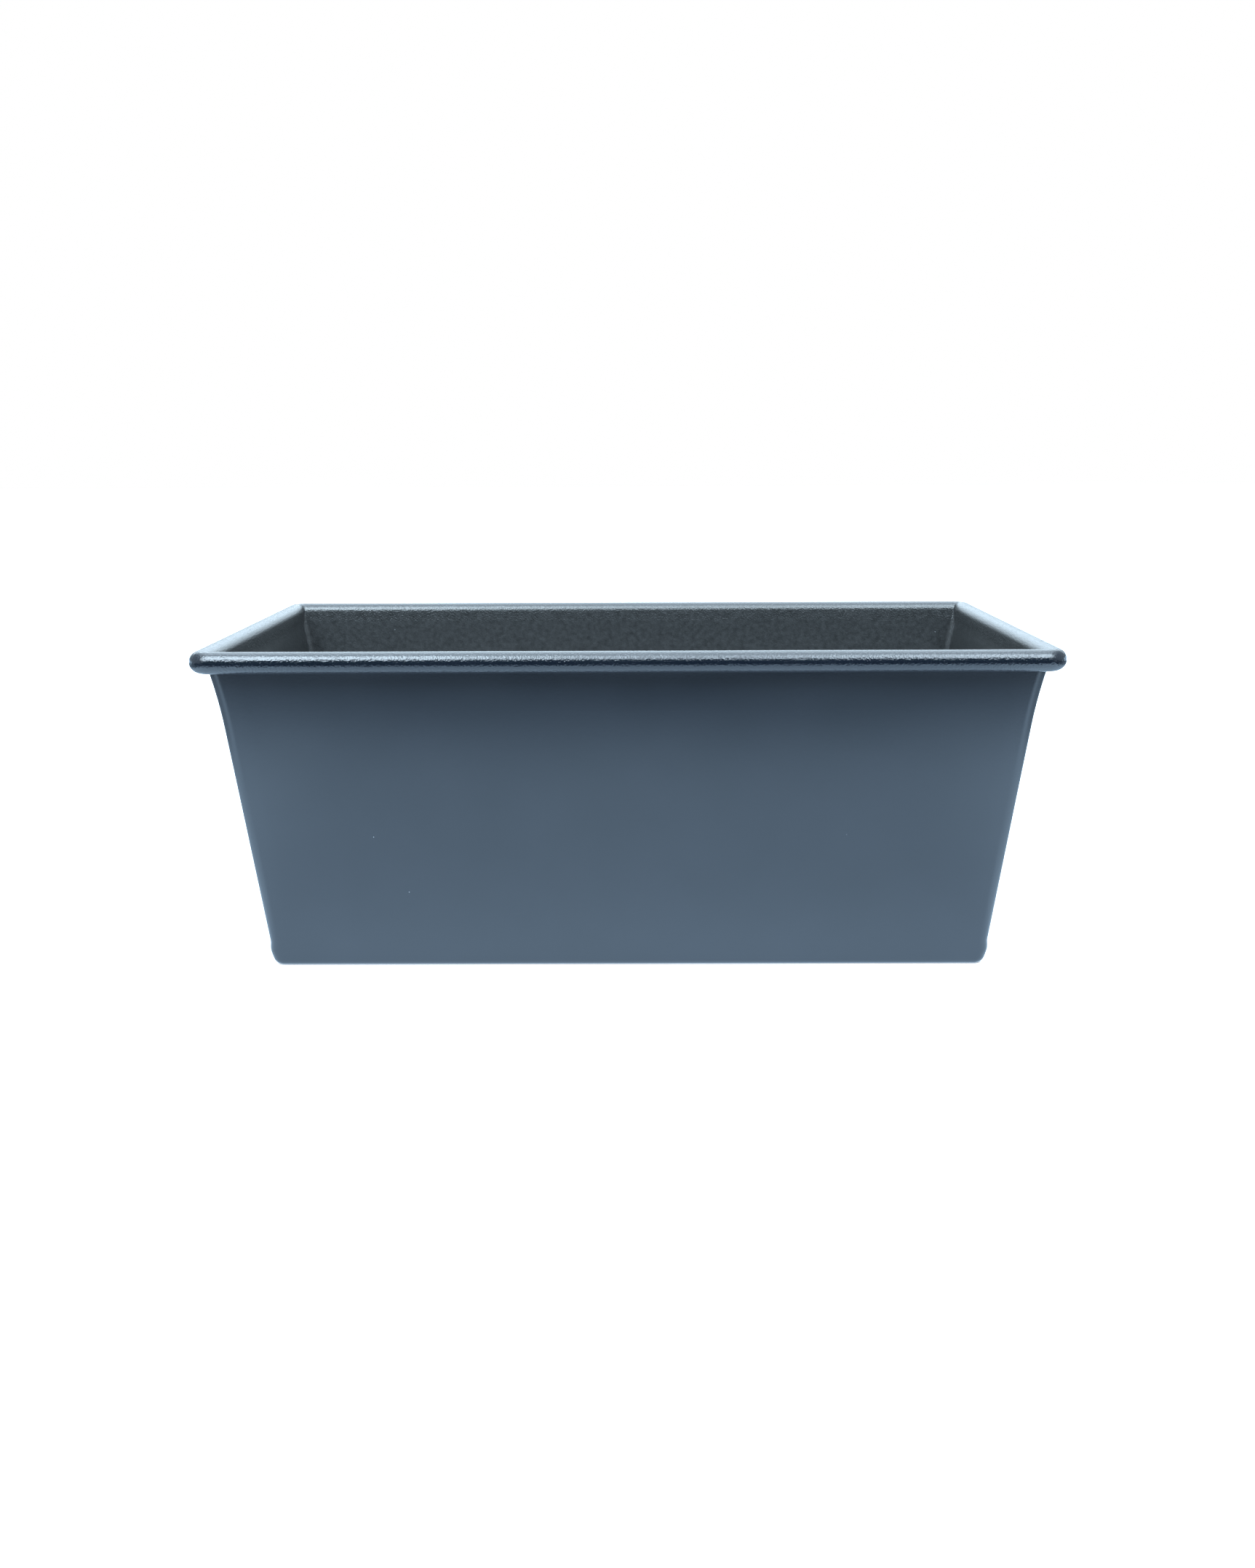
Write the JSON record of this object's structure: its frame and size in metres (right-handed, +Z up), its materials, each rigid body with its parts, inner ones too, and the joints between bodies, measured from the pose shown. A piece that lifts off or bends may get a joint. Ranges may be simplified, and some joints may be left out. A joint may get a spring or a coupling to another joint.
{
  "type": "loaf pan",
  "caption": "Tapered rectangular baking pan folded from one steel sheet, with ears folded flat on the end walls and a wire rolled into the rim.",
  "frame": {"origin": "centre of the base, on the surface that the pan stands on", "axes": "+X along the pan's length, +Y along its width towards the back wall, +Z up out of the open top"},
  "size_m": [0.213, 0.1134, 0.0843],
  "materials": {
    "coated_sheet": "satin dark charcoal non-stick coating on thin steel sheet",
    "rim_steel": "plain drawn steel wire"
  },
  "bodies": {
    "root": {"pan_body": "coated_sheet", "rim_wire": "rim_steel"}
  },
  "joints": []
}
